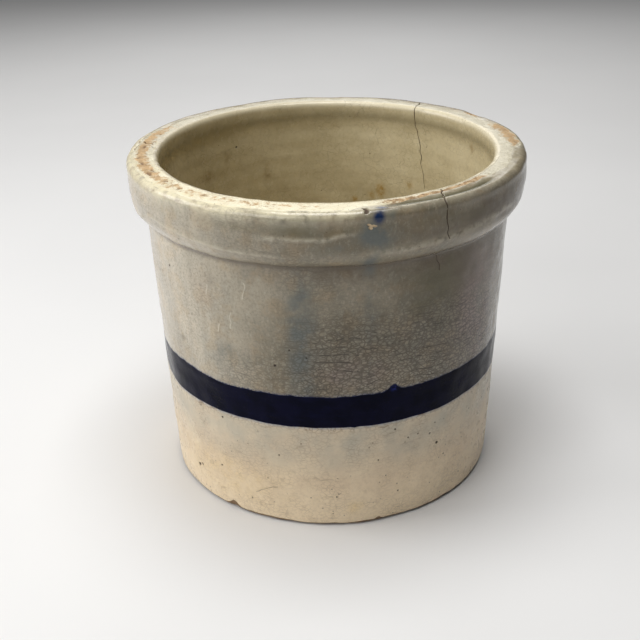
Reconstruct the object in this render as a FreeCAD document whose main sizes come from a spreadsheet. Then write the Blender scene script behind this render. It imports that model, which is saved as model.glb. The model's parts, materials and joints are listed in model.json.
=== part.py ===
"""A one-gallon stoneware crock: a thick turned clay pot with a heavy rolled rim, glazed inside and out.

The fired clay body carries four coats of glaze, each a thin solid of its own: the lining, the upper coat
over the rim and shoulder, the cobalt band, and the lower coat. The top of the rim and the foot are bare.
Millimetres; +Z up; the origin is the centre of the base, on the surface that the crock stands on.
"""

import FreeCAD, Part
import os
import Sketcher

OUT = "parts"

# Driving dimensions. Radii are from the turning axis and heights are from the base, of the glazed surface.
SIZES = [
    ("crock_height", 178.0),  # base to top of rim
    ("rim_radius", 105.0),  # outside of the rim, at its top
    ("roll_radius", 104.6),  # outside of the rim, where its underside starts to curve in
    ("roll_height", 163.0),
    ("shoulder_radius", 96.5),  # outside of the wall, just under the rim
    ("rim_base_height", 148.5),
    ("foot_radius", 90.0),  # outside of the wall, at the base
    ("mouth_radius", 88.0),  # the straight throat inside the rim
    ("mouth_base_height", 169.0),
    ("wall_radius", 89.2),  # inside of the wall, undercut a little below the throat
    ("wall_top_height", 163.0),
    ("floor_radius", 81.5),  # inside of the wall, at the floor
    ("floor_height", 11.0),
    ("recess_radius", 74.0),  # the shallow hollow under the base
    ("recess_flat_radius", 70.0),
    ("recess_depth", 1.5),
    ("lip_round", 2.5),  # rim, inner edge
    ("rim_round", 4.0),  # rim, outer edge
    ("cove_round", 2.0),  # where the rim meets the wall
    ("floor_round", 10.0),
    ("foot_bevel", 1.5),
    ("glaze", 0.5),  # thickness of a coat
    ("glaze_foot_height", 2.5),  # the lower coat stops short of the foot
    ("band_bottom", 60.5),
    ("band_top", 78.8),
    ("lining_edge_radius", 91.0),  # the bare clay on top of the rim lies between these two
    ("coat_edge_radius", 100.5),
    ("land_depth", 3.0),  # how far down the raised bare land reaches into the clay
    ("split_foot_radius", 86.0),  # a cone inside the wall, which parts the lining from the outer coats
    ("split_rim_radius", 95.0),
    ("reach", 120.0),  # beyond every outside surface
]
SIZE = dict(SIZES)

# The outline of half the pot, from the floor's centre round to the hollow under the base. Each corner is
# (radius, height) as cell names, then which way the clay lies from the glazed surface in radius and height,
# in coats. None is a corner on the axis or at the base.
OUTLINE = [
    (None, "floor_height", 0, -1),
    ("floor_radius", "floor_height", 1, -1),
    ("wall_radius", "wall_top_height", 1, 0),
    ("mouth_radius", "mouth_base_height", 1, 0),
    ("mouth_radius", "crock_height", 1, -1),
    ("rim_radius", "crock_height", -1, -1),
    ("roll_radius", "roll_height", -1, 0),
    ("shoulder_radius", "rim_base_height", -1, 1),
    ("foot_radius", None, -1, 0),
    ("recess_radius", None, 0, 0),
    ("recess_flat_radius", "recess_depth", 0, 0),
    (None, "recess_depth", 0, 0),
]
ROLL = 6  # the outline's only curved side starts at this corner and is tangent to the side before it

# Rounded corners: radius and height cells of the corner, the same coat shares, the rounding's cell, and how
# the clay's rounding differs from the glazed one, in coats.
ROUNDS = [
    ("mouth_radius", "crock_height", 1, -1, "lip_round", -1),
    ("rim_radius", "crock_height", -1, -1, "rim_round", -1),
    ("shoulder_radius", "rim_base_height", -1, 1, "cove_round", 1),
    ("floor_radius", "floor_height", 1, -1, "floor_round", 1),
]

doc = FreeCAD.newDocument("crock")


def make_sheet():
    sheet = doc.addObject("Spreadsheet::Sheet", "Sizes")
    for row, (alias, value) in enumerate(SIZES, start=1):
        sheet.set(f"A{row}", alias)
        sheet.set(f"B{row}", str(value))
        sheet.setAlias(f"B{row}", alias)
    doc.recompute()
    return sheet


def value(cell, coats=0):
    """A cell's size, moved by a number of coats of glaze."""
    return (SIZE[cell] if cell else 0.0) + coats * SIZE["glaze"]


def bound(cell, coats=0):
    """The same size as an expression on the sheet."""
    return f"Sizes.{cell} + {coats} * Sizes.glaze" if coats else f"Sizes.{cell}"


def tie(sketch, kind, side, end, cell, coats):
    """Holds a corner's distance from the sketch's origin to a cell."""
    number = sketch.addConstraint(Sketcher.Constraint(kind, -1, 1, side, end, value(cell, coats)))
    sketch.setExpression(f"Constraints[{number}]", bound(cell, coats))


def outline_sketch(body, name, bare):
    """Half the outline, closed along the axis: the clay alone if bare is 1, the glazed pot if it is 0."""
    plane = next(f for f in body.Origin.OriginFeatures if f.Role == "XZ_Plane")
    sketch = body.newObject("Sketcher::SketchObject", name)
    sketch.AttachmentSupport = (plane, [""])
    sketch.MapMode = "FlatFace"
    points = [
        FreeCAD.Vector(value(radius, bare * out), value(height, bare * up), 0)
        for radius, height, out, up in OUTLINE
    ]
    count = len(points)
    for i, start in enumerate(points):
        end = points[(i + 1) % count]
        if i == ROLL:
            sketch.addGeometry(roll_arc(points[i - 1], start, end))
        else:
            sketch.addGeometry(Part.LineSegment(start, end))
    # The arc is drawn from the wall to the rim, so its start is the lower corner.
    start_of = [2 if i == ROLL else 1 for i in range(count)]
    end_of = [1 if i == ROLL else 2 for i in range(count)]
    for i in range(count):
        following = (i + 1) % count
        kind = "Tangent" if following == ROLL else "Coincident"
        sketch.addConstraint(
            Sketcher.Constraint(kind, i, end_of[i], following, start_of[following])
        )
    for i, (radius, height, out, up) in enumerate(OUTLINE):
        if radius:
            tie(sketch, "DistanceX", i, start_of[i], radius, bare * out)
        else:
            sketch.addConstraint(Sketcher.Constraint("PointOnObject", i, start_of[i], -2))
        if height:
            tie(sketch, "DistanceY", i, start_of[i], height, bare * up)
        else:
            sketch.addConstraint(Sketcher.Constraint("PointOnObject", i, start_of[i], -1))
    return sketch


def roll_arc(before, start, end):
    """The curve under the rim, tangent at start to the side that comes down from before."""
    down = (start - before).normalize()
    inward = FreeCAD.Vector(down.y, -down.x, 0)
    chord = end - start
    radius = chord.dot(chord) / (2 * chord.dot(inward))
    centre = start + inward * radius
    halfway = (start + end) / 2 - centre
    middle = centre + halfway.normalize() * radius
    return Part.Arc(end, middle, start)


def ring_edge(shape, radius, height):
    """The name of the circular edge at that radius and height."""
    for i, edge in enumerate(shape.Edges, start=1):
        curve = edge.Curve
        if isinstance(curve, Part.Circle):
            if abs(curve.Radius - radius) < 0.01 and abs(curve.Center.z - height) < 0.01:
                return f"Edge{i}"
    raise ValueError(f"no edge at radius {radius} and height {height}")


def pot_form(name, bare):
    """The whole pot as one turned solid: the glazed form, or with bare=1 the clay under its coats."""
    body = doc.addObject("PartDesign::Body", name)
    sketch = outline_sketch(body, name + "_outline", bare)
    turned = body.newObject("PartDesign::Revolution", name + "_turned")
    turned.Profile = sketch
    turned.ReferenceAxis = (sketch, ["V_Axis"])
    turned.Angle = 360
    doc.recompute()
    last = turned
    for radius, height, out, up, rounding, change in ROUNDS:
        fillet = body.newObject("PartDesign::Fillet", f"{name}_{rounding}")
        edge = ring_edge(last.Shape, value(radius, bare * out), value(height, bare * up))
        fillet.Base = (last, [edge])
        fillet.Radius = value(rounding, bare * change)
        fillet.setExpression("Radius", bound(rounding, bare * change))
        doc.recompute()
        last = fillet
    bevel = body.newObject("PartDesign::Chamfer", name + "_foot_bevel")
    bevel.Base = (last, [ring_edge(last.Shape, value("foot_radius", -bare), 0)])
    bevel.Size = value("foot_bevel")
    bevel.setExpression("Size", bound("foot_bevel"))
    doc.recompute()
    return body


def cylinder(name, radius, bottom, height):
    """A cylinder on the axis; radius, bottom and height are expressions on the sheet."""
    made = doc.addObject("Part::Cylinder", name)
    made.setExpression("Radius", radius)
    made.setExpression("Height", height)
    made.setExpression("Placement.Base.z", bottom)
    return made


def cut(name, base, tool):
    made = doc.addObject("Part::Cut", name)
    made.Base = base
    made.Tool = tool
    return made


def common(name, base, tool):
    made = doc.addObject("Part::Common", name)
    made.Base = base
    made.Tool = tool
    return made


def wall_split():
    """A cone inside the thickness of the wall, from the base to the top of the rim."""
    cone = doc.addObject("Part::Cone", "wall_split")
    cone.setExpression("Radius1", "Sizes.split_foot_radius")
    cone.setExpression("Radius2", "Sizes.split_rim_radius")
    cone.setExpression("Height", "Sizes.crock_height")
    return cone


def outer_zone(name, bottom, top):
    """The space outside the wall split between two heights, as expressions on the sheet."""
    slab = cylinder(name + "_slab", "Sizes.reach", bottom, f"{top} - {bottom}")
    return cut(name + "_zone", slab, split)


def rim_disc(name, radius):
    """A disc flush with the top of the rim."""
    return cylinder(name, radius, "Sizes.crock_height - Sizes.land_depth", "Sizes.land_depth")


sheet = make_sheet()
glazed = pot_form("glazed_form", bare=0)
bare_clay = pot_form("bare_clay", bare=1)

# The coats stop short of the flat top of the rim, where the clay stands flush with them.
land = cut(
    "rim_land",
    rim_disc("land_outside", "Sizes.coat_edge_radius"),
    rim_disc("land_inside", "Sizes.lining_edge_radius"),
)
stoneware_body = doc.addObject("Part::Fuse", "stoneware_body")
stoneware_body.Base = bare_clay
stoneware_body.Tool = land
stoneware_body.Refine = True

split = wall_split()
skin = cut("glaze_skin", glazed, stoneware_body)
lining_glaze = common("lining_glaze", skin, split)
upper_glaze = common("upper_glaze", skin, outer_zone("upper", "Sizes.band_top", "Sizes.crock_height"))
cobalt_band = common("cobalt_band", skin, outer_zone("band", "Sizes.band_bottom", "Sizes.band_top"))
lower_glaze = common(
    "lower_glaze", skin, outer_zone("lower", "Sizes.glaze_foot_height", "Sizes.band_bottom")
)

doc.recompute()

SUBPARTS = [stoneware_body, lining_glaze, upper_glaze, cobalt_band, lower_glaze]

for made in doc.Objects:
    if any(word in made.State for word in ("Invalid", "Error")):
        raise RuntimeError(f"{made.Name} failed: {made.State}")

os.makedirs(OUT, exist_ok=True)
for made in SUBPARTS:
    shape = made.Shape
    if shape.isNull() or not shape.isValid() or not shape.Solids:
        raise RuntimeError(f"{made.Label} has no valid solid")
    shape.exportStep(os.path.join(OUT, made.Label + ".step"))
    print(f"{made.Label}: {len(shape.Solids)} solid, {shape.Volume / 1000:.1f} cm3")
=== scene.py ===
"""An old one-gallon stoneware crock with a cobalt band: bare clay showing at the rim and foot, and four coats
of glaze that meet along hand-brushed edges, crazed, stained, cracked and chipped by use.

Each piece is one closed skin laid over the turned outline. A place on the pot is a bearing, in degrees round
from the front (-Y) towards +X, and a run, the distance in millimetres along the outline from the middle of
the inside floor, up the wall, over the rim and down the outside. Lengths here are millimetres.
"""

import json
import math

import bmesh
import bpy
import numpy as np
from mathutils import Matrix, Vector


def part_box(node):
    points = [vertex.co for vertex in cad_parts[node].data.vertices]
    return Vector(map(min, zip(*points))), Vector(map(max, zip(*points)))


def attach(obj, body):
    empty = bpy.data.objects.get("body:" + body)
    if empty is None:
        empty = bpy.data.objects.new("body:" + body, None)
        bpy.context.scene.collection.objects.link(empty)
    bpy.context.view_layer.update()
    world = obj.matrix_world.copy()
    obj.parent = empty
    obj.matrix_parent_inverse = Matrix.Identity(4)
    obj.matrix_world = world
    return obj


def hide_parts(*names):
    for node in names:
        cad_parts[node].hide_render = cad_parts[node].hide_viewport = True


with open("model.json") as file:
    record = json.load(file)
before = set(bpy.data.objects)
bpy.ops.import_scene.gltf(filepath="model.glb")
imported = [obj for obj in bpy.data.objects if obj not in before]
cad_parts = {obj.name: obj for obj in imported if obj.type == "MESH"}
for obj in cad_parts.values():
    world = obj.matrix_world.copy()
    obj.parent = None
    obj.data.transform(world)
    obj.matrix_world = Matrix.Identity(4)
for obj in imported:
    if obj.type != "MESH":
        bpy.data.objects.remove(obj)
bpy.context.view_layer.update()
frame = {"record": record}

MM = 0.001

# Sizes that the frame gives.
body_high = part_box("stoneware_body")[1]
band_low, band_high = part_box("cobalt_band")
lining_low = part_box("lining_glaze")[0]
mouth = next(m for m in frame["record"]["mounts"] if m["name"] == "mouth")
GLAZE = 0.5
HEIGHT = body_high.z / MM
RIM_RADIUS = body_high.x / MM + GLAZE
MOUTH_RADIUS = mouth["dims"]["r_mm"]
FLOOR = lining_low.z / MM + GLAZE
BAND_BOTTOM = band_low.z / MM
BAND_TOP = band_high.z / MM
FOOT_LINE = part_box("lower_glaze")[0].z / MM

# Sizes of the same outline that no box gives.
FLOOR_RADIUS = 81.5
WALL_TOP = (89.2, 163.0)
THROAT_HEIGHT = 169.0
ROLL = (104.6, 163.0)
SHOULDER = (96.5, 148.5)
FOOT_RADIUS = 90.0
RECESS = ((74.0, 0.0), (70.0, 1.5))

COLUMNS = 480
SEAM = -155.0  # the bearing where the columns start, clear of the cracks and the large pits
STEP = 0.1  # spacing of the points that the outline is kept as
WALL_RADIUS = 93.0  # turns degrees into millimetres round the wall

LIGHT_DISTANCE = 1.4  # metres from the middle of the pot
LIGHT_SIZE = 0.8


# ---------------------------------------------------------------- small tools

def smooth(x, low, high):
    """0 below low, 1 above high, with an eased rise between."""
    t = np.clip((x - low) / (high - low), 0, 1)
    return t * t * (3 - 2 * t)


def within(x, low, high, soft):
    """1 between low and high, easing to 0 over soft on each side."""
    return smooth(x, low - soft, low + soft) * (1 - smooth(x, high - soft, high + soft))


def hump(x, centre, half):
    """1 at the centre, falling away like a bell that is about half wide on each side."""
    return np.exp(-(((x - centre) / half) ** 2))


def turn(bearing, start):
    """Degrees from start to bearing, the short way round."""
    return (bearing - start + 180) % 360 - 180


def sweep(bearing, low, high, soft):
    """within() for a stretch of bearings, which may pass through 180."""
    middle = (low + high) / 2
    half = (high - low) / 2
    return within(turn(bearing, middle), -half, half, soft)


def field(bearing, run, size, seed, stretch=1.0, count=36):
    """A smooth random field of unit variance. Its marks are about size across, stretched round the pot."""
    rng = np.random.default_rng(seed)
    heading = rng.uniform(0, 2 * math.pi, count)
    pitch = rng.uniform(0.5, 1.5, count) * math.pi / size
    around = np.round(pitch * np.cos(heading) * WALL_RADIUS / stretch)
    along = pitch * np.sin(heading)
    phase = rng.uniform(0, 2 * math.pi, count)
    angle = np.radians(bearing)
    total = np.zeros(np.shape(angle))
    for a, l, p in zip(around, along, phase):
        total += np.cos(a * angle + l * run + p)
    return total * math.sqrt(2 / count)


# ---------------------------------------------------------------- the outline

def unit(v):
    return v / np.linalg.norm(v)


def roll_arc(before, start, end, steps=24):
    """Points on the curve under the rim, tangent at start to the side that comes down from before."""
    down = unit(start - before)
    inward = np.array((down[1], -down[0]))
    chord = end - start
    radius = chord @ chord / (2 * chord @ inward)
    centre = start + inward * radius
    first = math.atan2(*(start - centre)[::-1])
    last = math.atan2(*(end - centre)[::-1])
    angles = np.linspace(first, last, steps)[1:]
    return [centre + radius * np.array((math.cos(a), math.sin(a))) for a in angles]


def rounded(corners, steps=12):
    """A path through (radius, height, rounding) corners, with an arc at each corner that has a rounding."""
    places = [np.array(c[:2], float) for c in corners]
    path = [places[0]]
    for i in range(1, len(corners) - 1):
        rounding = corners[i][2]
        if not rounding:
            path.append(places[i])
            continue
        back = unit(places[i - 1] - places[i])
        on = unit(places[i + 1] - places[i])
        half = math.acos(np.clip(back @ on, -1, 1)) / 2
        centre = places[i] + unit(back + on) * rounding / math.sin(half)
        first = places[i] + back * rounding / math.tan(half) - centre
        last = places[i] + on * rounding / math.tan(half) - centre
        for t in np.linspace(0, 1, steps):
            path.append(centre + unit((1 - t) * first + t * last) * rounding)
    path.append(places[-1])
    return np.array(path)


def eased(values, reach):
    """The values with a Gaussian blur of that reach along the outline, its ends held still."""
    half = int(4 * reach / STEP)
    weights = hump(np.arange(-half, half + 1) * STEP, 0, reach * math.sqrt(2))
    before = 2 * values[0] - values[half:0:-1]
    after = 2 * values[-1] - values[-2:-half - 2:-1]
    return np.convolve(np.concatenate((before, values, after)), weights / weights.sum(), "valid")


def outline():
    """Runs, radii, heights and the outward direction along the glazed outline."""
    rim_top = np.array((RIM_RADIUS, HEIGHT))
    roll = roll_arc(rim_top, np.array(ROLL), np.array(SHOULDER))
    corners = [
        (0, FLOOR, 0),
        (FLOOR_RADIUS, FLOOR, 10),
        (*WALL_TOP, 14),
        (MOUTH_RADIUS, THROAT_HEIGHT, 14),
        (MOUTH_RADIUS, HEIGHT, 2.5),
        (RIM_RADIUS, HEIGHT, 4),
        (*ROLL, 0),
        *[(*p, 0) for p in roll],
        (FOOT_RADIUS, 0, 1.5),
        (*RECESS[0], 1),
        (*RECESS[1], 1),
        (0, RECESS[1][1], 0),
    ]
    path = rounded(corners)
    lengths = np.concatenate(((0,), np.cumsum(np.linalg.norm(np.diff(path, axis=0), axis=1))))
    runs = np.arange(0, lengths[-1], STEP)
    radii = eased(np.interp(runs, lengths, path[:, 0]), 0.6)
    heights = eased(np.interp(runs, lengths, path[:, 1]), 0.6)
    radii[0] = radii[-1] = 0
    along = np.stack((np.gradient(radii), np.gradient(heights)))
    along /= np.linalg.norm(along, axis=0)
    return runs, radii, heights, -along[1], along[0]


RUNS, RADII, HEIGHTS, OUT, UP = outline()
LAST_RUN = RUNS[-1]
THROAT_INDEX = int(np.argmax((HEIGHTS > THROAT_HEIGHT) & (RUNS > FLOOR_RADIUS)))
LIP_INDEX = int(np.argmax((HEIGHTS > HEIGHT - 0.02) & (RUNS > FLOOR_RADIUS)))
EDGE_INDEX = int(np.argmax(RADII))
FOOT_INDEX = EDGE_INDEX + int(np.argmax(HEIGHTS[EDGE_INDEX:] < 0.05))
FLOOR_END = FLOOR_RADIUS - 10


def inside(height):
    """The run of a height on the inside wall."""
    part = slice(int(FLOOR_END / STEP), LIP_INDEX)
    return np.interp(height, HEIGHTS[part], RUNS[part])


def top(radius):
    """The run of a radius on top of the rim."""
    part = slice(THROAT_INDEX + 60, EDGE_INDEX)
    return np.interp(radius, RADII[part], RUNS[part])


def outside(height):
    """The run of a height on the outside, from the rim's outer edge down."""
    part = slice(LIP_INDEX, FOOT_INDEX)
    return np.interp(-np.asarray(height, float), -HEIGHTS[part], RUNS[part])


# ---------------------------------------------------------------- where the coats meet

def lining_edge(bearing):
    """Where the lining stops on top of the rim."""
    radius = 90.6 + 0.25 * field(bearing, 0, 12, 11) + 0.12 * field(bearing, 0, 4, 12)
    return top(radius)


def land_edge(bearing):
    """Where the upper coat starts on top of the rim: far out where the rim is worn or chipped bare."""
    radius = 97.0 + 0.5 * field(bearing, 0, 22, 13) + 0.25 * field(bearing, 0, 5, 14)
    for low, high, soft, reach in (
        (-112, 7.4, 2.5, 4.4),
        (16, 53, 2.5, -2.4),
        (84, 112, 5, 5.0),
        (119, 126, 2, 5.0),
        (160, 188, 3, 4.4),
    ):
        radius = radius + reach * sweep(bearing, low, high, soft)
    return top(np.clip(radius, 94.5, 103.6))


def band_top_edge(bearing):
    ragged = 0.22 * field(bearing, 0, 34, 15) + 0.10 * field(bearing, 0, 7, 16)
    ragged = ragged + 0.09 * field(bearing, 0, 2.6, 17)
    drip = 2.6 * hump(turn(bearing, 18.7), 0, 0.55) + 2.1 * hump(turn(bearing, 19.9), 0, 0.5)
    lip = 1.2 * sweep(bearing, 16.5, 21.5, 1.2)
    return outside(BAND_TOP + 0.3 + ragged + drip + lip)


def band_bottom_edge(bearing):
    ragged = 0.20 * field(bearing, 0, 38, 18) + 0.06 * field(bearing, 0, 6, 19)
    notch = 0.6 * hump(turn(bearing, 7.0), 0, 0.8)
    return outside(BAND_BOTTOM + 0.3 + ragged - notch)


def foot_edge(bearing):
    """Where the lower coat stops above the foot."""
    ragged = 0.14 * field(bearing, 0, 25, 20) + 0.10 * field(bearing, 0, 4, 21)
    flakes = 3.2 * hump(turn(bearing, FOOT_CHIP), 0, 1.8) + 1.2 * hump(turn(bearing, 15), 0, 0.8)
    flakes = flakes + 1.6 * hump(turn(bearing, 128), 0, 1.6) + 1.1 * hump(turn(bearing, -141), 0, 1.2)
    return outside(FOOT_LINE - 0.7 + ragged + flakes)


# ---------------------------------------------------------------- marks

# Open cracks, as (surface, bearing, height or radius) points, with half width and depth.
CRACKS = [
    {
        "points": [
            (top, 35.5, 91), (top, 33.2, 96), (top, 31.2, 102), (outside, 31.0, 173), (outside, 31.1, 169),
        ],
        "half_width": 0.34,
        "depth": 0.55,
    },
    {
        "points": [(outside, 31.1, 169), (outside, 31.7, 163), (outside, 32.3, 158)],
        "half_width": 0.24,
        "depth": 0.45,
    },
    {
        "points": [(outside, 31.6, 149), (outside, 32.4, 144), (outside, 33.2, 140)],
        "half_width": 0.25,
        "depth": 0.2,
    },
    {
        "points": [
            (outside, 147.5, 160), (outside, 146.2, 172),
            (top, 145.8, 102), (top, 144.2, 95), (top, 143.6, 90.3),
            (inside, 143.4, 176), (inside, 143.0, 167), (inside, 141.8, 160), (inside, 141.2, 155.6),
            (inside, 140.0, 148), (inside, 140.0, 143.7),
        ],
        "half_width": 0.24,
        "depth": 0.40,
    },
    {
        "points": [(inside, 140.0, 143.7), (inside, 138.8, 138), (inside, 137.6, 129)],
        "half_width": 0.18,
        "depth": 0.3,
    },
    {"points": [(top, 9.4, 100), (top, 9.4, 101.6), (outside, 9.3, 177.3)], "half_width": 1.0, "depth": 0.5},
    {"points": [(top, -97.5, 99), (top, -95.5, 96.5), (top, -94.6, 93.5)], "half_width": 0.4, "depth": 0.5},
    {
        "points": [(top, -92.4, 92.4), (top, -90.6, 90.4), (top, -90.2, 89.4)],
        "half_width": 0.35,
        "depth": 0.4,
    },
    {
        "points": [
            (outside, -26.2, 16), (outside, -24, 18.2), (outside, -22.2, 20), (outside, -19.8, 21.6),
            (outside, -18.2, 22.4),
        ],
        "half_width": 0.15,
        "depth": 0.12,
    },
]

# The large burst bubbles and knocks in the glaze: (surface, bearing, height or radius, radius of the pit).
PITS = [
    (outside, -37, 57, 0.75), (outside, 36, 39, 1.0), (outside, -40, 25, 0.75), (outside, -53, 16, 1.1),
    (outside, -51, 17.5, 1.0), (outside, 60, 39, 0.7), (outside, -56, 133, 0.7), (top, 42, 92.5, 0.7),
    (inside, 217, 156, 0.8),
]
SMALL_PITS = 60  # the rest, strewn all round the outside

# Stains, and some painted shade under and along the rim: (mask, surface, bearing, height or radius, half
# width in degrees, half height, strength).
STAINS = [
    ("cobalt", outside, 12.5, 174.8, 1.6, 3.4, 1.25),
    ("cobalt", outside, 13.4, 177.6, 1.7, 2.6, 0.6),
    ("cobalt", outside, 12.9, 176.6, 1.5, 2.6, 0.9),
    ("cobalt", top, 13.8, 100.4, 2, 1.8, 0.9),
    ("wash", outside, 15, 176, 2.2, 3.6, 1),
    ("wash", outside, 11.8, 166.5, 4, 6.5, 1.5),
    ("wash", outside, 10.6, 150, 2.8, 14, 0.75),
    ("wash", outside, 11.5, 118, 2.2, 36, 0.55),
    ("wash", outside, -8, 110, 4.4, 38, 0.95),
    ("wash", outside, -10.5, 136, 2.6, 20, 0.42),
    ("wash", outside, -34, 96, 7, 12, 0.40),
    ("wash", outside, 6, 163, 14, 7, 0.35),
    ("wash", outside, 168, 112, 3, 30, 0.45),
    ("wash", outside, -118, 126, 4, 24, 0.35),
    # Painted shade under the rim's roll at the front.
    ("rust_and_shade", outside, 16, 145, 40, 7, 0.75),
    ("rust_and_shade", outside, 44, 138, 18, 14, 1),
    ("rust_and_shade", outside, -38, 134, 5, 9, 0.22),
    # Painted shade under the rim's roll at the back.
    ("rust_and_shade", outside, 170, 146, 40, 4, 0.35),
    ("rust_and_shade", outside, -62, 160, 14, 8, 0.14),
    ("ochre", inside, 157.6, 123.4, 2.1, 5, 1),
    ("ochre", inside, 161.5, 119.6, 2.2, 3.4, 0.7),
    ("ochre", inside, 145, 129.4, 1.9, 3.2, 0.7),
    ("ochre", inside, 168.5, 116.6, 1.8, 2.2, 0.8),
    ("rust_and_shade", inside, 222, 150, 1.6, 7, 0.5),
    ("rust_and_shade", inside, 232, 143, 3.2, 4.6, 0.75),
    ("rust_and_shade", inside, 204.5, 135, 1.8, 7.5, 0.55),
    ("rust_and_shade", inside, 113, 163.5, 2.2, 4.4, 0.5),
    ("rust_and_shade", inside, 200, 60, 60, 26, 0.35),
    ("olive_and_shade", outside, 34, 128, 12, 20, 0.95),
    ("olive_and_shade", outside, -53.5, 94.5, 1.9, 2.8, 0.55),
    # Painted shade in the hollow under the rim's top edge at the front.
    ("olive_and_shade", outside, -12, 169.6, 20, 3.2, 0.55),
    ("olive_and_shade", outside, 38, 168, 17, 5, 0.65),
    # Painted shade on the rim's face at the right: a darker reflection painted in.
    ("rust_and_shade", outside, 50, 165, 26, 8, 1.10),
    ("rust_and_shade", outside, 172, 177, 18, 3, 1.6),
    ("olive_and_shade", outside, 60, 166, 20, 9, 0.30),
    ("olive_and_shade", outside, 26, 164, 44, 9, 0.26),
    ("pink", outside, 52, 108, 12, 34, 0.90),
    ("pink", outside, 6, 92, 12, 10, 0.60),
    ("pink", outside, -40, 128, 7, 14, 0.22),
    ("yellow", outside, 7, 10.5, 3, 4.5, 0.60),
    ("yellow", outside, -38, 22, 26, 14, 0.40),
    ("yellow", outside, 130, 18, 30, 12, 0.35),
]

FLAKE = (10.6, 170.9)  # bearing and height of the flake knocked off the rim's face
FOOT_CHIP = -36  # bearing of the chip in the foot

# Pale scratches down the upper coat: (bearing, highest, lowest).
SCRATCHES = [
    (-25.0, 137.0, 129.5), (-38.4, 132.0, 127.5), (-30.2, 120.5, 112.0), (-35.0, 112.0, 108.0),
    (-51.6, 104.0, 96.5),
]


def crack_line(crack):
    """The crack's points as (bearing, run)."""
    return [(bearing, float(surface(place))) for surface, bearing, place in crack["points"]]


def pit_places():
    """Every pit as (bearing, run, radius): the large ones listed, and small ones strewn at random."""
    places = [(bearing, float(surface(place)), radius) for surface, bearing, place, radius in PITS]
    rng = np.random.default_rng(41)
    for _ in range(SMALL_PITS):
        bearing = rng.uniform(0, 360)
        height = rng.choice((rng.uniform(6, 58), rng.uniform(84, 174)), p=(0.75, 0.25))
        places.append((bearing, float(outside(height)), rng.uniform(0.35, 0.7)))
    return places


CRACK_LINES = [crack_line(crack) for crack in CRACKS]
PIT_PLACES = pit_places()


def gap(bearing, run, line):
    """Distance from places on the pot to a line of (bearing, run) points."""
    nearest = np.full(np.shape(run), 1e9)
    for (b0, r0), (b1, r1) in zip(line, line[1:]):
        scale = math.radians(1) * WALL_RADIUS
        x = turn(bearing, b0) * scale
        y = run - r0
        dx = turn(b1, b0) * scale
        dy = r1 - r0
        t = np.clip((x * dx + y * dy) / (dx * dx + dy * dy), 0, 1)
        nearest = np.minimum(nearest, np.hypot(x - t * dx, y - t * dy))
    return nearest


def gap_to_place(bearing, run, place):
    return np.hypot(turn(bearing, place[0]) * math.radians(1) * WALL_RADIUS, run - place[1])


def wander(bearing, run, reach=0.35):
    """The same places shifted about reach mm at random, which makes straight marks meander."""
    sideways = reach * field(bearing, run, 3.5, 51) / (math.radians(1) * WALL_RADIUS)
    return bearing + sideways, run + reach * field(bearing, run, 3.0, 52)


def crack_mask(bearing, run):
    """How deep in an open crack a place is, 0 to 1, and the relief that the cracks cut."""
    shifted = wander(bearing, run, 0.2)
    mask = np.zeros(np.shape(run))
    cut = np.zeros(np.shape(run))
    for crack, line in zip(CRACKS, CRACK_LINES):
        share = 1 - smooth(gap(*shifted, line), 0.35 * crack["half_width"], 1.35 * crack["half_width"])
        strength = min(1.0, crack["half_width"] / 0.20)
        mask = np.maximum(mask, share * strength)
        cut = np.maximum(cut, share * crack["depth"])
    return mask, cut


def pit_mask(bearing, run):
    """How deep in a pit a place is, 0 to 1, and the relief that the pits cut."""
    shifted = wander(bearing, run, 0.15)
    mask = np.zeros(np.shape(run))
    cut = np.zeros(np.shape(run))
    for place in PIT_PLACES:
        radius = place[2]
        share = 1 - smooth(gap_to_place(*shifted, place), 0.45 * radius, 1.15 * radius)
        mask = np.maximum(mask, share)
        cut = np.maximum(cut, share * min(0.45, 0.5 * radius))
    return mask, cut


def stain_masks(bearing, run):
    """One mask per kind of stain."""
    masks = {}
    for name, surface, centre, place, half_width, half_height, strength in STAINS:
        spot = strength * hump(turn(bearing, centre), 0, half_width)
        spot = spot * hump(run, float(surface(place)), half_height)
        masks[name] = np.maximum(masks.get(name, 0), spot)
    return masks


def flake_mask(bearing, run):
    """The little star-shaped flake knocked off the rim's face."""
    x = turn(bearing, FLAKE[0]) * math.radians(1) * RIM_RADIUS * 0.62
    y = run - float(outside(FLAKE[1]))
    heading = np.arctan2(y, x)
    reach = 1.15 + 0.45 * np.cos(3 * heading + 0.5) + 0.2 * np.cos(5 * heading - 1.0)
    return 1 - smooth(np.hypot(x, y), 0.8 * reach, 1.1 * reach)


def scratch_mask(bearing, run):
    mask = np.zeros(np.shape(run))
    for centre, high, low in SCRATCHES:
        line = [(centre + 0.3, float(outside(high))), (centre - 0.3, float(outside(low)))]
        mask = np.maximum(mask, 1 - smooth(gap(*wander(bearing, run), line), 0.1, 0.5))
    return mask


def chip_mask(bearing, run):
    """Where the edge and top of the rim are knocked and worn in patches."""
    radius = np.interp(run, RUNS, RADII)
    on_top = smooth(run, float(top(90)), float(top(91)))
    on_top = on_top * (1 - smooth(run, float(top(103)), float(outside(174))))
    patches = smooth(field(bearing, run, 2.4, 61, 2.6) + 0.5 * hump(radius, 100.6, 1.5), 1.0, 1.6)
    worn = sweep(bearing, -108, -30, 8) + 0.5 * sweep(bearing, 14, 55, 5) + 0.5 * sweep(bearing, 84, 112, 4)
    knocks = hump(radius, 102.5, 1.6) * (sweep(bearing, 119, 126, 2) + sweep(bearing, 168, 184, 3))
    knocks = knocks * within(run, float(top(99)), float(outside(173)), 0.8)
    return np.clip(on_top * patches * worn + knocks, 0, 1)


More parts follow.
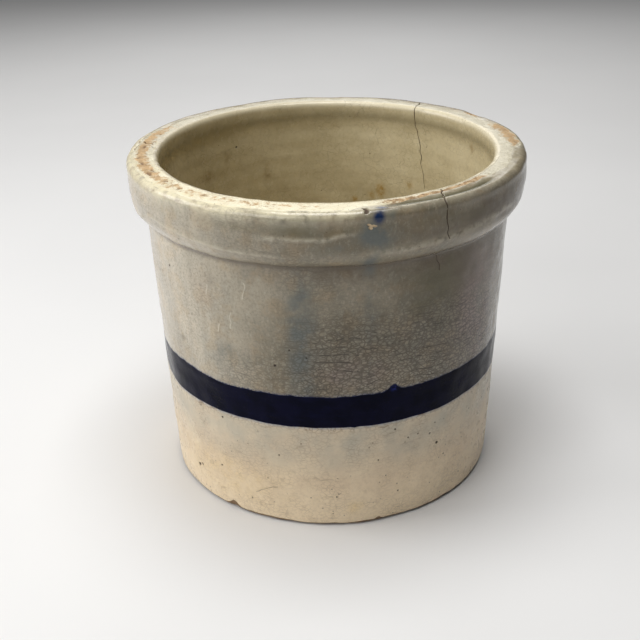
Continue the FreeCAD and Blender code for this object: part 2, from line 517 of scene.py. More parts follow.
def groove_mask(bearing, run):
    """The shallow groove worn along the top of the rim at the front right."""
    radius = np.interp(run, RUNS, RADII)
    height = np.interp(run, RUNS, HEIGHTS)
    middle = 97.0 + 1.6 * smooth(turn(bearing, 0), 20, 34)
    return sweep(bearing, 15.5, 52, 2.5) * hump(radius, middle, 2.1) * smooth(height, 172, 176)


def crest_mask(bearing, run):
    """The thin crests along the rim's face: its lower edge, an upper ridge and the groove's lip. The relief
    raises them, and the upper glaze paints a highlight along them.
    """
    radius = np.interp(run, RUNS, RADII)
    height = np.interp(run, RUNS, HEIGHTS)
    low_crest = 155.4 + 6.0 * (turn(bearing, 0) / 55) ** 2 * sweep(bearing, -60, 60, 6)
    mask = hump(height, low_crest, 0.9) * sweep(bearing, -72, -14, 8)
    mask = mask + 0.8 * hump(height, low_crest + 1.5, 2.2) * sweep(bearing, 12, 66, 10)
    mask = mask + 0.5 * hump(height, low_crest, 2.0) * sweep(bearing, 90, 270, 20)
    mask = mask + hump(height, ridge_height(bearing), 1.0) * sweep(bearing, -17, 6, 3)
    mask = mask + 0.6 * hump(height, ridge_height(bearing), 1.0) * sweep(bearing, 120, 200, 12)
    lip_radius = 101.4 + 0.8 * smooth(turn(bearing, 0), 24, 40)
    mask = mask + hump(radius, lip_radius, 1.3) * smooth(height, 170, 174) * sweep(bearing, 15, 56, 4)
    return np.clip(mask * smooth(run, float(top(97)), float(top(100))), 0, 1)


def ridge_height(bearing):
    return 165.8 + 2.6 * smooth(turn(bearing, 0), -1.5, 5) + 0.35 * field(bearing, 0, 16, 74)


# ---------------------------------------------------------------- the relief of the finished surface

def relief(bearing, run):
    """How far the finished surface stands out from the outline."""
    radius = np.interp(run, RUNS, RADII)
    height = np.interp(run, RUNS, HEIGHTS)
    outer = smooth(run, float(top(97)), float(top(101)))
    inner = 1 - outer
    away_from_axis = smooth(radius, 40, 82)

    lumps = 0.13 * field(bearing, run, 22, 71) + 0.05 * field(bearing, run, 7, 72)
    rings = np.sin(run * 2 * math.pi / 9.5 + 0.9 * away_from_axis * field(bearing, run, 70, 73))
    out = lumps * away_from_axis + rings * smooth(radius, 4, 14) * (0.06 * inner + 0.035 * outer)

    # The rim's face: a hollow under the top edge, a slack line lower down, and crests left between them.
    strength = 0.45 + 0.55 * sweep(bearing, -64, 4.5, 5) + 0.2 * sweep(bearing, 120, 200, 12)
    hollow = 0.5 * hump(height, ridge_height(bearing) + 4.6, 2.6)
    slack = 0.35 * hump(height, 160.5 + 0.6 * field(bearing, 0, 40, 75), 2.4)
    out = out - outer * (strength * hollow + slack + 0.25)
    out = out + 0.40 * crest_mask(bearing, run) - 1.2 * groove_mask(bearing, run)

    # The band is a little proud, the coats thin out towards their edges, and drops hang on the inside.
    band = smooth(run, band_top_edge(bearing) - 0.4, band_top_edge(bearing) + 0.4)
    band = band * (1 - smooth(run, band_bottom_edge(bearing) - 0.4, band_bottom_edge(bearing) + 0.4))
    out = out + 0.07 * band
    for edge, dip in ((lining_edge(bearing), 0.05), (land_edge(bearing), 0.05), (foot_edge(bearing), 0.14)):
        out = out - dip * hump(run, edge, 1.0)
    out = out + 0.7 * hump(gap_to_place(bearing, run, (189.0, float(inside(126)))), 0, 0.9)

    out = out - 0.40 * chip_mask(bearing, run) - 0.3 * flake_mask(bearing, run)
    knocks = hump(turn(bearing, 122), 0, 3.5) + hump(turn(bearing, 176), 0, 7)
    out = out - 0.8 * knocks * hump(radius, 104.2, 1.6) * smooth(height, 170, 174)
    foot_chip = hump(turn(bearing, FOOT_CHIP), 0, 2.0) * hump(height, 0.8, 2.6) * smooth(radius, 84, 88)
    out = out - 0.45 * foot_chip
    return out - crack_mask(bearing, run)[1] - pit_mask(bearing, run)[1]


def warp(bearing, height):
    """How far the fired pot has moved from true: out of round, and the rim not quite level."""
    share = height / HEIGHT
    oval = 0.16 * np.cos(np.radians(2 * bearing - 50))
    three_sided = 0.08 * np.cos(np.radians(3 * bearing + 20))
    sideways = share * (oval + three_sided)
    return sideways, share**4 * 0.12 * (np.cos(np.radians(2 * bearing + 80)) - 1)


def place_on_pot(bearing, run, depth):
    """Positions in metres of places at a depth under the finished surface."""
    radius = np.interp(run, RUNS, RADII)
    height = np.interp(run, RUNS, HEIGHTS)
    lift = relief(bearing, run) - depth
    spread = radius + lift * np.interp(run, RUNS, OUT)
    level = height + lift * np.interp(run, RUNS, UP)
    sideways, upwards = warp(bearing, height)
    spread = spread + sideways * smooth(radius, 5, 60)
    level = np.maximum(level + upwards, 0)
    angle = np.radians(bearing)
    return np.stack((spread * np.sin(angle), -spread * np.cos(angle), level), axis=1) * MM


# ---------------------------------------------------------------- skins

def row_spacing(run):
    """How far apart rows are: close together over the rim and foot, wide apart on the floors."""
    knots = (
        (0, 6.0), (FLOOR_END, 2.5), (FLOOR_RADIUS + 10, 2.2), (inside(160), 1.7), (inside(174), 0.9),
        (top(89), 0.5), (top(92), 0.7), (outside(176), 0.55), (outside(168), 0.8), (outside(150), 0.8),
        (outside(144), 1.15), (outside(8), 1.15), (outside(2), 0.5), (LAST_RUN - 72, 0.9), (LAST_RUN, 8.0),
    )
    places, spacings = zip(*knots)
    return np.interp(run, [float(p) for p in places], spacings)


def row_shares(first, last, coarser=1.0):
    """Shares of the way from first to last, spaced as row_spacing() says."""
    runs = np.linspace(first, last, 2000)
    count = np.concatenate(((0,), np.cumsum((last - first) / 1999 / (coarser * row_spacing(runs[1:])))))
    rows = max(2, int(round(count[-1])))
    return np.interp(np.linspace(0, count[-1], rows + 1), count, np.linspace(0, 1, 2000))


BEARINGS = SEAM + np.arange(COLUMNS) * 360 / COLUMNS


def rows_between(start, end, depth, coarser=1.0):
    """Rows of (bearing, run, depth) from one edge to another. An edge is a function of bearing, or a run."""
    first = start(BEARINGS) if callable(start) else np.full(COLUMNS, float(start))
    last = end(BEARINGS) if callable(end) else np.full(COLUMNS, float(end))
    shares = row_shares(first.mean(), last.mean(), coarser)
    return [np.stack((BEARINGS, first + (last - first) * t, np.full(COLUMNS, depth)), axis=1) for t in shares]


def skin_faces(count, closed, first_pole, last_pole):
    """Faces between successive rows, wound so that they look out of the skin, and fans at the poles."""
    columns = np.arange(COLUMNS)
    beside = (columns + 1) % COLUMNS
    faces = []
    for k in range(count if closed else count - 1):
        here = k * COLUMNS
        there = (k + 1) % count * COLUMNS
        faces.extend(zip(here + columns, there + columns, there + beside, here + beside))
    if first_pole is not None:
        faces.extend(zip(np.full(COLUMNS, first_pole), columns, beside))
    if last_pole is not None:
        base = (count - 1) * COLUMNS
        faces.extend(zip(base + columns, np.full(COLUMNS, last_pole), base + beside))
    return [tuple(int(i) for i in face) for face in faces]


def bearings_across(face):
    bearings = [vert.co.x for vert in face.verts]
    return max(bearings) - min(bearings)


def refine(bm, reach):
    """Splits the faces that are within reach of a mark, apart from those that close the seam."""
    centres = np.array([tuple(f.calc_center_median()) for f in bm.faces])
    bearing, run, depth = centres.T
    near = np.zeros(len(centres), bool)
    for line in CRACK_LINES:
        near |= gap(bearing, run, line) < reach + 0.5
    for place in PIT_PLACES:
        near |= gap_to_place(bearing, run, place) < reach + place[2]
    near |= gap_to_place(bearing, run, (FLAKE[0], float(outside(FLAKE[1])))) < reach + 2.6
    for centre, high, low in SCRATCHES:
        line = [(centre, float(outside(high))), (centre, float(outside(low)))]
        near |= gap(bearing, run, line) < reach + 0.3
    near &= depth < 0.3
    chosen = [face for face, wanted in zip(bm.faces, near) if wanted and bearings_across(face) < 2]
    edges = list({edge for face in chosen for edge in face.edges})
    if edges:
        bmesh.ops.subdivide_edges(bm, edges=edges, cuts=1, use_grid_fill=True)


def write_masks(mesh, bearing, run):
    """The marks as one number per vertex each, for the materials to read."""
    masks = {name: 0 * run for name in ("cobalt", "wash", "rust_and_shade", "ochre", "olive_and_shade", "pink", "yellow")}
    masks.update(stain_masks(bearing, run))
    masks["crack"] = crack_mask(bearing, run)[0]
    masks["pit"] = pit_mask(bearing, run)[0]
    masks["flake"] = flake_mask(bearing, run)
    masks["scratch"] = scratch_mask(bearing, run)
    masks["chip"] = chip_mask(bearing, run)
    masks["groove"] = groove_mask(bearing, run)
    masks["crest_highlight"] = crest_mask(bearing, run)
    masks["nub"] = hump(turn(bearing, 19.3), 0, 1.5) * hump(run, float(outside(BAND_TOP + 1.6)), 2.2)
    radius = np.interp(run, RUNS, RADII)
    height = np.interp(run, RUNS, HEIGHTS)
    outer = smooth(run, float(top(97)), float(top(101)))

    # Distances past the band's edges, 0 at the edge and 1 at 4 mm or more from it.
    masks["above_band"] = np.clip((band_top_edge(bearing) - run) / 4, 0, 1)
    masks["below_band"] = np.clip((run - band_bottom_edge(bearing)) / 4, 0, 1)
    inside_band = np.minimum(run - band_top_edge(bearing), band_bottom_edge(bearing) - run)
    masks["in_band"] = np.clip(inside_band / 4, 0, 1)

    # The upper coat is darker on the front, right and back and paler on the left: partly its own tone, partly
    # painted shade on the side away from the window light.
    darker_and_shaded = sweep(bearing, -31, 100, 25) + 0.55 * sweep(bearing, 130, 250, 25)
    masks["creamy"] = hump(run, land_edge(bearing), 6.0) * (0.35 + 0.65 * sweep(bearing, -110, 12, 10))
    masks["darker_and_shaded"] = np.clip(darker_and_shaded + 0.12 * field(bearing, run, 40, 81), 0, 1)
    crazed = sweep(bearing, -10, 64, 14) * within(height, 70, 122, 12) + 0.5 * sweep(bearing, 100, 200, 30)
    crazed = crazed + 0.22 * sweep(bearing, -40, 30, 14) * within(height, 70, 100, 8)
    masks["crazed"] = np.clip(0.10 + crazed + 0.10 * field(bearing, run, 25, 82), 0, 1) * outer
    # Painted shade on the inside wall on the left, away from the window light.
    masks["film_and_shade"] = (1 - outer) * sweep(bearing, -165, -45, 35) * smooth(height, 60, 110)
    # Painted shade with some grime: a dark line in the crease under the rim's roll outside, and a dark band
    # under the rim's bead inside.
    masks["grime_and_shade"] = outer * hump(height, 148.6, 1.6) + (1 - outer) * hump(height, 169.5, 3.2)

    # How bare the top of the rim is: worn in its middle on the left, at its inner edge at the front right, in
    # knocks at the back, and whole and creamy elsewhere.
    middle = hump(radius, 96.4 - 1.2 * smooth(turn(bearing, 0), -60, -30), 3.6)
    worn = 0.06 + (0.88 * sweep(bearing, -116, -56, 10) + 0.50 * sweep(bearing, -56, -2, 8)) * middle
    worn = worn + 0.74 * sweep(bearing, 15, 54, 4) * within(radius, 91.4, 96, 0.8)
    worn = worn + 0.90 * sweep(bearing, 86, 110, 4) * hump(radius, 98.5, 4)
    worn = worn + 0.8 * sweep(bearing, 119, 126, 2) * smooth(radius, 96, 99)
    worn = worn + 0.7 * sweep(bearing, 168, 184, 3) * smooth(radius, 97, 100)
    masks["worn"] = np.clip(worn, 0, 1)
    masks["brown"] = sweep(bearing, 14, 54, 4) + sweep(bearing, 118, 127, 2) + sweep(bearing, 167, 185, 3)
    masks["bright"] = 0.20 + 0.70 * sweep(bearing, -80, 30, 25)
    for name, values in masks.items():
        attribute = mesh.attributes.new(name, "FLOAT", "POINT")
        attribute.data.foreach_set("value", np.broadcast_to(values, run.shape).astype(np.float32))


def skin(name, rows, node, material, first_pole=None, last_pole=None, closed=False):
    """A piece laid over the pot from rows of (bearing, run, depth), split finer round its marks."""
    verts = [tuple(v) for row in rows for v in row]
    poles = {}
    for key, pole in (("first", first_pole), ("last", last_pole)):
        if pole is not None:
            poles[key] = len(verts)
            verts.append((0.0, *pole))
    faces = skin_faces(len(rows), closed, poles.get("first"), poles.get("last"))
    mesh = bpy.data.meshes.new(name)
    mesh.from_pydata(verts, [], faces)
    bm = bmesh.new()
    bm.from_mesh(mesh)
    for reach in (2.2, 1.1, 0.55):
        refine(bm, reach)
    bm.to_mesh(mesh)
    bm.free()
    places = np.empty(len(mesh.vertices) * 3)
    mesh.vertices.foreach_get("co", places)
    bearing, run, depth = places.reshape(-1, 3).T
    write_masks(mesh, bearing, run)
    mesh.vertices.foreach_set("co", place_on_pot(bearing, run, depth).ravel())
    mesh.update()
    mesh.shade_smooth()
    mesh.set_sharp_from_angle(angle=math.radians(50))
    mesh.materials.append(material)
    piece = bpy.data.objects.new(name, mesh)
    bpy.context.scene.collection.objects.link(piece)
    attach(piece, "root")
    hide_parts(node)
    return piece


def coat(name, start, end, node, material):
    """A coat of glaze between two edges, closed underneath and at its edges."""
    face = rows_between(start, end, 0.0)
    back = rows_between(start, end, GLAZE, coarser=2.5)[::-1]
    return skin(name, face + back, node, material, closed=True)


def lining(material):
    """The inside coat, from the middle of the floor up to the rim."""
    face = rows_between(6.0, lining_edge, 0.0)
    back = rows_between(6.0, lining_edge, GLAZE, coarser=2.5)[::-1]
    return skin("lining_coat", face + back, "lining_glaze", material, (0.0, 0.0), (0.0, GLAZE))


def moved(edge, distance):
    """The same edge, that distance further along the outline."""
    return lambda bearing: edge(bearing) + distance


def clay(material):
    """The fired clay, which lies at the glaze's depth except where it is bare."""
    hair = 0.03
    land_depth = 0.09
    under_lining = rows_between(6.0, moved(lining_edge, -hair), GLAZE, coarser=2.5)
    land = rows_between(moved(lining_edge, hair), moved(land_edge, -hair), land_depth, coarser=0.9)
    under_coats = rows_between(moved(land_edge, hair), moved(foot_edge, -hair), GLAZE, coarser=2.5)
    foot = rows_between(moved(foot_edge, hair), LAST_RUN - 8.0, 0.25)
    rows = under_lining + land + under_coats + foot
    return skin("fired_clay", rows, "stoneware_body", material, (0.0, GLAZE), (float(LAST_RUN), 0.25))


# ---------------------------------------------------------------- materials

class Nodes:
    """A material's node tree, with short names for the nodes that the glazes are made of."""

    def __init__(self, name):
        self.material = bpy.data.materials.new(name)
        self.material.use_nodes = True
        self.tree = self.material.node_tree
        self.tree.nodes.clear()
        self.place = self.add("ShaderNodeTexCoord").outputs["Object"]

    def add(self, kind, inputs=None, **settings):
        node = self.tree.nodes.new(kind)
        for key, value in settings.items():
            setattr(node, key, value)
        for key, value in (inputs or {}).items():
            self.feed(node.inputs[key], value)
        return node

    def feed(self, socket, value):
        if isinstance(value, bpy.types.NodeSocket):
            self.tree.links.new(value, socket)
        elif isinstance(value, tuple) and len(value) == 3 and socket.type == "RGBA":
            socket.default_value = (*value, 1.0)
        else:
            socket.default_value = value

    def maths(self, operation, a, b=0.0):
        return self.add("ShaderNodeMath", {0: a, 1: b}, operation=operation).outputs[0]

    def times(self, a, b):
        return self.maths("MULTIPLY", a, b)

    def plus(self, a, b):
        return self.maths("ADD", a, b)

    def larger(self, a, b):
        return self.maths("MAXIMUM", a, b)

    def height(self):
        """Height on the pot, in metres."""
        return self.add("ShaderNodeSeparateXYZ", {0: self.place}).outputs["Z"]

    def mix(self, share, a, b, blend="MIX"):
        """Colour a, with share of colour b over it."""
        inputs = {0: share, 6: a, 7: b}
        return self.add("ShaderNodeMix", inputs, data_type="RGBA", blend_type=blend).outputs[2]

    def mask(self, name):
        return self.add("ShaderNodeAttribute", attribute_name=name, attribute_type="GEOMETRY").outputs["Fac"]

    def ease(self, value, low, high):
        """0 below low and 1 above high, or the other way round if low is the larger."""
        inputs = {"Value": value, "From Min": low, "From Max": high}
        return self.add("ShaderNodeMapRange", inputs, interpolation_type="SMOOTHSTEP").outputs[0]

    def squashed(self, stretch):
        inputs = {"Vector": self.place, "Scale": stretch}
        return self.add("ShaderNodeMapping", inputs).outputs[0]

    def noise(self, size, detail=3.0, roughness=0.55, stretch=(1, 1, 1)):
        """Noise whose marks are about size mm across."""
        inputs = {
            "Vector": self.squashed(stretch),
            "Scale": 1 / (size * MM),
            "Detail": detail,
            "Roughness": roughness,
        }
        return self.add("ShaderNodeTexNoise", inputs)

    def cloud(self, size, low=0.35, high=0.65, **settings):
        """The same noise with its contrast stretched to run from 0 to 1."""
        return self.ease(self.noise(size, **settings).outputs[0], low, high)

    def craze(self, size, width, flatten, bend):
        """Fine cracks round cells about size mm across, flattened so that they run mostly round the pot."""
        shake = self.noise(size * 1.3, detail=2.0).outputs["Color"]
        shift = self.add("ShaderNodeVectorMath", {0: shake, 1: (0.5, 0.5, 0.5)}, operation="SUBTRACT")
        inputs = {0: shift.outputs[0], 3: bend * MM}
        scaled = self.add("ShaderNodeVectorMath", inputs, operation="SCALE").outputs[0]
        bent = self.add("ShaderNodeVectorMath", {0: self.squashed((1, 1, flatten)), 1: scaled}).outputs[0]
        inputs = {"Vector": bent, "Scale": 1 / (size * MM)}
        cells = self.add("ShaderNodeTexVoronoi", inputs, feature="DISTANCE_TO_EDGE")
        return self.ease(cells.outputs["Distance"], width / size, 0.25 * width / size)

    def long_cracks(self, spacing, width):
        """Long cracks that wander round the pot, about spacing mm apart, and come and go."""
        swing = self.noise(30.0, detail=4.0, roughness=0.58).outputs[0]
        level = self.plus(self.times(self.height(), 1 / (spacing * MM)), self.times(swing, 3.2))
        beside = self.maths("ABSOLUTE", self.maths("SUBTRACT", self.maths("FRACT", level), 0.5))
        line = self.ease(beside, width / spacing, 0.2 * width / spacing)
        return self.times(line, self.cloud(6.0, 0.46, 0.56))

    def specks(self, size, share, radius=0.28):
        """Round specks in a share of cells that are size mm across."""
        cells = self.add("ShaderNodeTexVoronoi", {"Vector": self.place, "Scale": 1 / (size * MM)})
        chosen = self.ease(cells.outputs["Color"], 1 - share, 1 - 0.6 * share)
        return self.times(self.ease(cells.outputs["Distance"], radius, 0.6 * radius), chosen)

    def bump(self, height, distance, below=None):
        inputs = {"Height": height, "Distance": distance * MM, "Strength": 1.0}
        if below is not None:
            inputs["Normal"] = below
        return self.add("ShaderNodeBump", inputs).outputs[0]

    def finish(self, colour, roughness, normal, ior=1.5):
        shader = self.add("ShaderNodeBsdfPrincipled", {"Base Color": colour, "Roughness": roughness})
        shader.inputs["IOR"].default_value = ior
        self.feed(shader.inputs["Normal"], normal)
        output = self.add("ShaderNodeOutputMaterial")
        self.tree.links.new(shader.outputs[0], output.inputs["Surface"])
        return self.material


PIT_BROWN = (0.030, 0.017, 0.009)
CRACK_BROWN = (0.070, 0.042, 0.022)
TAN_CLAY = (0.64, 0.440, 0.232)


def stained(g, colour, stains):
    """The colour with each (mask, colour, size of its breakup) stain over it."""
    for name, stain, size in stains:
        patchy = g.times(g.mask(name), g.plus(g.cloud(size, 0.25, 0.75), 0.45))
        colour = g.mix(g.ease(patchy, 0.0, 1.1), colour, stain)
    return colour


def marked(g, colour, rough):
    """Pits and cracks, which are dark and dry."""
    colour = g.mix(g.mask("pit"), colour, PIT_BROWN)
    colour = g.mix(g.mask("crack"), colour, CRACK_BROWN)
    dry = g.larger(g.mask("pit"), g.mask("crack"))
    return colour, g.plus(rough, g.times(dry, 0.5))


def glaze_bump(g, crazing, orange_peel=0.012):
    """The glaze's surface: long soft waves, orange peel, pinholes, and the crazing just felt."""
    normal = g.bump(g.noise(9.0, detail=2.0).outputs[0], 0.22)
    normal = g.bump(g.noise(1.6, detail=3.0).outputs[0], orange_peel * 2.2, normal)
    normal = g.bump(g.specks(2.2, 0.22, 0.16), -0.05, normal)
    return g.bump(crazing, -0.03, normal)


def upper_glaze():
    g = Nodes("grey_beige_glaze")
    pale = g.mix(g.cloud(17), (0.555, 0.500, 0.400), (0.62, 0.545, 0.425))
    # Darker colour for the front, right and back: partly the glaze's own tone, partly painted shade away from
    # the window light.
    darker_and_shaded = g.mix(g.cloud(13), (0.195, 0.170, 0.118), (0.262, 0.220, 0.152))
    colour = g.mix(g.mask("darker_and_shaded"), pale, darker_and_shaded)
    streaks = g.cloud(6.0, 0.4, 0.7, stretch=(1, 1, 0.10))
    colour = g.mix(g.times(streaks, 0.24), colour, (0.20, 0.19, 0.155))
    mottle = g.times(g.cloud(1.3, 0.42, 0.72, detail=5.0, roughness=0.7), 0.50)
    colour = g.mix(mottle, colour, (0.145, 0.136, 0.098))
    flecks = g.times(g.cloud(1.6, 0.50, 0.70, detail=5.0, roughness=0.7, stretch=(1, 1, 0.6)), 0.34)
    colour = g.mix(flecks, colour, (0.50, 0.465, 0.37))
    warm = g.times(g.cloud(10.0, 0.46, 0.64, detail=4.0), 0.38)
    colour = g.mix(warm, colour, (0.48, 0.36, 0.24), "SOFT_LIGHT")
    colour = stained(g, colour, (
        # Rust stains, with painted shade under and along the rim.
        ("rust_and_shade", (0.120, 0.086, 0.050), 14.0),
        # Olive stains, with painted shade in the hollow under the rim's top edge.
        ("olive_and_shade", (0.135, 0.115, 0.058), 12.0),
        ("pink", (0.285, 0.215, 0.185), 12.0),
        ("wash", (0.130, 0.143, 0.130), 8.0),
    ))
    # Painted shade with some grime in the crease under the rim's roll.
    colour = g.mix(g.times(g.mask("grime_and_shade"), 0.72), colour, (0.070, 0.048, 0.030))
    # Painted highlight along the rim's crests, partly also the glaze breaking pale over them.
    crest_highlight = g.times(g.mask("crest_highlight"), g.cloud(3.5, 0.25, 0.6))
    colour = g.mix(g.times(crest_highlight, 0.60), colour, (0.62, 0.565, 0.435))
    creamy = g.times(g.mask("creamy"), g.cloud(4.0, 0.20, 0.60, detail=4.0))
    colour = g.mix(creamy, colour, (0.80, 0.735, 0.530))
    colour = g.mix(g.times(g.mask("groove"), 0.92), colour, (0.110, 0.100, 0.054))
    blue = g.times(g.ease(g.mask("cobalt"), 0.10, 1.05), g.cloud(3.0, 0.10, 0.45))
    colour = g.mix(blue, colour, (0.010, 0.028, 0.090))
    halo = g.times(g.ease(g.mask("above_band"), 0.40, 0.0), g.cloud(2.2, 0.2, 0.7))
    colour = g.mix(g.times(halo, 0.7), colour, (0.150, 0.170, 0.240))
    wisps = g.times(g.ease(g.mask("above_band"), 0.17, 0.05), g.cloud(1.1, 0.46, 0.56))
    colour = g.mix(wisps, colour, (0.010, 0.014, 0.050))
    fine_cracks = g.craze(2.8, 0.44, 1.6, 1.0)
    wide_cracks = g.craze(6.5, 0.42, 2.6, 2.2)
    crazing = g.larger(g.long_cracks(3.8, 0.52), g.times(wide_cracks, 0.75))
    crazing = g.larger(crazing, g.times(fine_cracks, 0.66))
    crazing = g.times(crazing, g.times(g.mask("crazed"), g.cloud(9.0, 0.15, 0.42)))
    colour = g.mix(g.times(crazing, 0.95), colour, (0.045, 0.033, 0.022))
    colour = g.mix(g.times(g.specks(1.9, 0.16, 0.20), 0.6), colour, (0.080, 0.060, 0.036))
    colour = g.mix(g.times(g.mask("scratch"), 0.42), colour, (0.74, 0.69, 0.56))
    worn_edge = g.times(g.mask("chip"), g.cloud(1.2, 0.35, 0.6))
    colour = g.mix(worn_edge, colour, (0.200, 0.120, 0.058))
    colour = g.mix(g.mask("flake"), colour, (0.66, 0.50, 0.31))
    rough = g.plus(g.times(g.cloud(5.0), 0.10), 0.15)
    rough = g.plus(rough, g.times(g.larger(g.mask("flake"), worn_edge), 0.5))
    colour, rough = marked(g, colour, rough)
    return g.finish(colour, rough, glaze_bump(g, crazing))


def lower_glaze():
    g = Nodes("cream_glaze")
    colour = g.mix(g.cloud(15), (0.79, 0.640, 0.440), (0.72, 0.570, 0.392))
    height = g.height()
    # Painted light: paler towards the foot, standing in for light thrown up from the floor.
    colour = g.mix(g.times(g.ease(height, 0.034, 0.004), 0.8), colour, (0.91, 0.750, 0.520))
    mottle = g.times(g.cloud(1.8, 0.42, 0.75, detail=6.0, roughness=0.7), 0.42)
    colour = g.mix(mottle, colour, (0.50, 0.385, 0.26))
    haze = g.times(g.ease(g.mask("below_band"), 1.0, 0.15), 0.35)
    fade = g.ease(height, 0.024, 0.052)
    haze = g.times(g.larger(haze, fade), g.plus(g.cloud(12.0, 0.2, 0.8), 0.6))
    colour = g.mix(g.times(haze, 0.62), colour, (0.49, 0.445, 0.350))
    colour = stained(g, colour, (("yellow", (0.80, 0.60, 0.30), 7.0), ("rust_and_shade", (0.30, 0.19, 0.09), 6.0)))
    halo = g.times(g.ease(g.mask("below_band"), 0.45, 0.0), g.cloud(2.2, 0.1, 0.6))
    colour = g.mix(g.times(halo, 0.75), colour, (0.26, 0.29, 0.34))
    crazing = g.larger(g.long_cracks(5.0, 0.42), g.times(g.craze(2.8, 0.34, 1.5, 1.0), 0.6))
    near_band = g.ease(g.mask("below_band"), 1.0, 0.1)
    crazing = g.times(crazing, g.plus(g.times(g.cloud(14.0, 0.36, 0.66), 0.75), near_band))
    colour = g.mix(g.times(crazing, 0.60), colour, (0.25, 0.17, 0.10))
    colour = g.mix(g.times(g.specks(3.0, 0.34, 0.17), 0.75), colour, (0.12, 0.07, 0.04))
    rough = g.plus(g.times(g.cloud(5.0), 0.12), 0.26)
    colour, rough = marked(g, colour, rough)
    return g.finish(colour, rough, glaze_bump(g, crazing, 0.006))


def cobalt():
    g = Nodes("cobalt_glaze")
    colour = g.mix(g.cloud(11), (0.0012, 0.0016, 0.0085), (0.0026, 0.0030, 0.0160))
    edge = g.times(g.ease(g.mask("in_band"), 0.14, 0.0), g.cloud(2.4, 0.25, 0.75))
    colour = g.mix(g.times(edge, 0.8), colour, (0.030, 0.040, 0.105))
    streaks = g.times(g.cloud(2.4, 0.5, 0.8, stretch=(0.25, 0.25, 1.0)), 0.4)
    colour = g.mix(streaks, colour, (0.0045, 0.0055, 0.0260))
    colour = g.mix(g.times(g.specks(4.2, 0.10, 0.10), 0.5), colour, (0.10, 0.11, 0.13))
    nub = g.times(g.ease(g.mask("nub"), 0.2, 1.0), g.cloud(1.6, 0.3, 0.6))
    colour = g.mix(nub, colour, (0.014, 0.020, 0.115))
    crazing = g.times(g.craze(4.8, 0.18, 1.7, 1.8), g.cloud(10.0, 0.35, 0.65))
    rough = g.plus(g.times(g.cloud(5.0), 0.08), 0.12)
    colour = g.mix(g.mask("pit"), colour, (0.10, 0.10, 0.12))
    return g.finish(colour, rough, glaze_bump(g, crazing, 0.010), ior=1.13)


def lining_glaze():
    g = Nodes("olive_beige_glaze")
    colour = g.mix(g.cloud(24), (0.66, 0.575, 0.375), (0.58, 0.500, 0.315))
    rings = g.cloud(5.5, 0.4, 0.7, stretch=(0.12, 0.12, 1.0))
    colour = g.mix(g.times(rings, 0.20), colour, (0.42, 0.345, 0.200))
    mottle = g.times(g.cloud(1.8, 0.45, 0.8, detail=4.0), 0.26)
    colour = g.mix(mottle, colour, (0.30, 0.240, 0.130))
    colour = stained(g, colour, (("rust_and_shade", (0.30, 0.205, 0.090), 3.0), ("ochre", (0.42, 0.275, 0.085), 2.0)))
    # Painted shade with some grime under the rim's bead inside.
    colour = g.mix(g.times(g.mask("grime_and_shade"), 0.62), colour, (0.24, 0.200, 0.112))
    lip = g.ease(g.height(), 0.1735, 0.1770)
    colour = g.mix(g.times(lip, 0.6), colour, (0.80, 0.735, 0.565))
    # Painted shade on the left of the inside wall.
    colour = g.mix(g.times(g.mask("film_and_shade"), 0.34), colour, (0.33, 0.265, 0.140))
    crazing = g.times(g.craze(4.2, 0.16, 1.4, 1.6), g.cloud(16.0, 0.35, 0.7))
    colour = g.mix(g.times(crazing, 0.32), colour, (0.14, 0.10, 0.05))
    colour = g.mix(g.times(g.specks(3.0, 0.16, 0.17), 0.6), colour, (0.10, 0.065, 0.03))
    rough = g.plus(g.times(g.cloud(5.0), 0.10), 0.20)
    colour, rough = marked(g, colour, rough)
    return g.finish(colour, rough, glaze_bump(g, crazing))


def bare_clay():
    g = Nodes("worn_stoneware")
    grain = g.cloud(0.9, 0.35, 0.68, detail=5.0)
    clay_colour = g.mix(g.cloud(5.0), TAN_CLAY, (0.47, 0.325, 0.175))
    clay_colour = g.mix(g.times(grain, 0.4), clay_colour, (0.30, 0.185, 0.090))
    deep = g.times(g.mask("brown"), g.cloud(3.0, 0.40, 0.70))
    clay_colour = g.mix(g.times(deep, 0.7), clay_colour, (0.170, 0.092, 0.040))
    clay_colour = g.mix(g.times(g.mask("chip"), 0.75), clay_colour, (0.15, 0.080, 0.034))
    bright = g.mix(g.cloud(7.0), (0.90, 0.835, 0.605), (0.84, 0.755, 0.515))
    grey = g.mix(g.cloud(7.0), (0.60, 0.555, 0.425), (0.50, 0.455, 0.335))
    film_and_shade = g.mix(g.mask("bright"), grey, bright)
    ragged = g.maths("SUBTRACT", g.noise(3.0, detail=6.0, roughness=0.68).outputs[0], 0.5)
    patches = g.plus(g.mask("worn"), g.times(ragged, 2.5))
    bare = g.ease(patches, 0.34, 0.80)
    height = g.height()
    foot = g.ease(height, 0.012, 0.008)
    bare = g.larger(bare, foot)
    colour = g.mix(bare, film_and_shade, clay_colour)
    # Dark brown at the foot: the bare clay's own colour, and painted contact shadow where the pot meets the
    # floor.
    colour = g.mix(g.times(foot, 0.72), colour, (0.100, 0.052, 0.026))
    streak = g.times(g.mask("worn"), g.cloud(1.5, 0.60, 0.72, detail=5.0))
    colour = g.mix(g.times(streak, 0.75), colour, (0.20, 0.110, 0.045))
    colour = g.mix(g.times(g.specks(1.6, 0.45, 0.22), 0.7), colour, (0.12, 0.065, 0.030))
    blue = g.times(g.ease(g.mask("cobalt"), 0.12, 1.0), g.cloud(3.0, 0.15, 0.5))
    colour = g.mix(blue, colour, (0.020, 0.040, 0.080))
    rough = g.plus(g.times(bare, 0.50), 0.22)
    colour, rough = marked(g, colour, rough)
    normal = g.bump(g.noise(2.6, detail=5.0, roughness=0.6).outputs[0], 0.28)
    normal = g.bump(grain, 0.05, normal)
    return g.finish(colour, rough, normal)


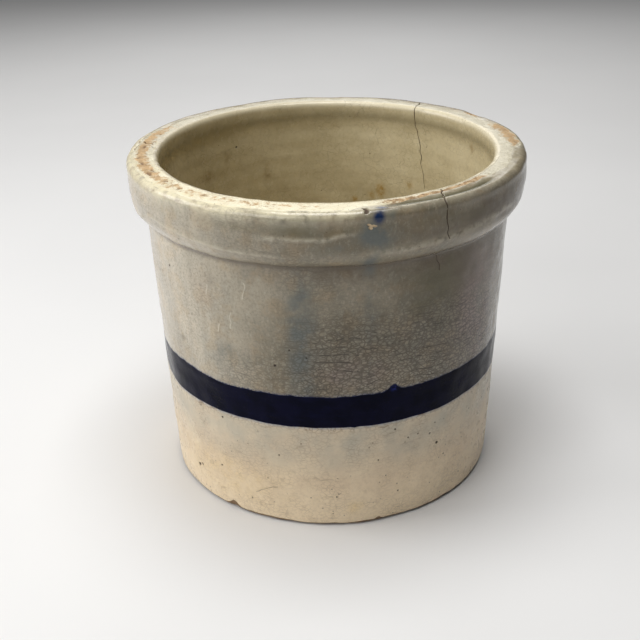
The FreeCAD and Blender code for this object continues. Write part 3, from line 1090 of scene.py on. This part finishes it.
def floor_material():
    g = Nodes("pale_floor")
    colour = g.mix(g.cloud(400.0, 0.3, 0.7), (0.80, 0.80, 0.80), (0.83, 0.83, 0.83))
    normal = g.bump(g.noise(2.0).outputs[0], 0.02)
    return g.finish(colour, 0.75, normal)


# ---------------------------------------------------------------- stage

def make_floor():
    mesh = bpy.data.meshes.new("floor")
    reach = 6.0
    corners = [(-reach, -reach, 0), (reach, -reach, 0), (reach, reach, 0), (-reach, reach, 0)]
    mesh.from_pydata(corners, [], [(0, 1, 2, 3)])
    mesh.materials.append(floor_material())
    floor = bpy.data.objects.new("floor", mesh)
    bpy.context.scene.collection.objects.link(floor)


def make_camera():
    """The camera stands in front of the pot, looks down at it, and is rolled very slightly."""
    elevation = math.radians(24.95)
    yaw = math.radians(-0.16)
    pitch = math.radians(0.24)
    roll = math.radians(-1.20)
    distance = 0.5855
    target = Vector((0, 0, 0.090))
    place = target + distance * Vector((0, -math.cos(elevation), math.sin(elevation)))
    ahead = (target - place).normalized()
    right = Vector((1, 0, 0))
    above = right.cross(ahead)
    ahead = (ahead + math.tan(yaw) * right + math.tan(pitch) * above).normalized()
    right = ahead.cross(above).normalized()
    above = right.cross(ahead)
    turned_right = math.cos(roll) * right + math.sin(roll) * above
    turned_above = math.cos(roll) * above - math.sin(roll) * right
    data = bpy.data.cameras.new("camera")
    data.sensor_width = 36
    data.lens = 58.64
    data.shift_x = -0.0097
    data.shift_y = -0.0452
    data.clip_start = 0.01
    camera = bpy.data.objects.new("camera", data)
    axes = Matrix((turned_right, turned_above, -ahead)).transposed().to_4x4()
    camera.matrix_world = Matrix.Translation(place) @ axes
    bpy.context.scene.collection.objects.link(camera)
    bpy.context.scene.camera = camera


def area_light(name, place, target, size, power):
    data = bpy.data.lights.new(name, "AREA")
    data.shape = "SQUARE"
    data.size = size
    data.energy = power
    data.color = (1.0, 0.99, 0.975)
    light = bpy.data.objects.new(name, data)
    light.location = place
    light.rotation_euler = (target - place).to_track_quat("-Z", "Y").to_euler()
    bpy.context.scene.collection.objects.link(light)


def make_lights():
    """A large soft light overhead, a window on the left, and weaker ones at the front left and behind."""
    middle = Vector((0, 0, 0.1))
    for name, bearing, elevation, power in (
        ("overhead", 0, 89, 15.5),
        ("window", -90, 26, 8.5),
        ("fill", -40, 28, 5.5),
        ("backlight", 180, 30, 3.0),
    ):
        around = Matrix.Rotation(math.radians(bearing), 3, "Z")
        tilt = Matrix.Rotation(-math.radians(elevation), 3, "X")
        place = middle + around @ tilt @ Vector((0, -LIGHT_DISTANCE, 0))
        area_light(name, place, middle, LIGHT_SIZE, power)
    world = bpy.data.worlds.new("studio")
    world.use_nodes = True
    background = world.node_tree.nodes["Background"]
    background.inputs["Color"].default_value = (0.95, 0.97, 1.0, 1)
    background.inputs["Strength"].default_value = 0.05
    bpy.context.scene.world = world
    bpy.context.scene.view_settings.view_transform = "Standard"


clay(bare_clay())
lining(lining_glaze())
coat("upper_coat", land_edge, band_top_edge, "upper_glaze", upper_glaze())
coat("cobalt_stripe", band_top_edge, band_bottom_edge, "cobalt_band", cobalt())
coat("lower_coat", band_bottom_edge, foot_edge, "lower_glaze", lower_glaze())
make_floor()
make_camera()
make_lights()
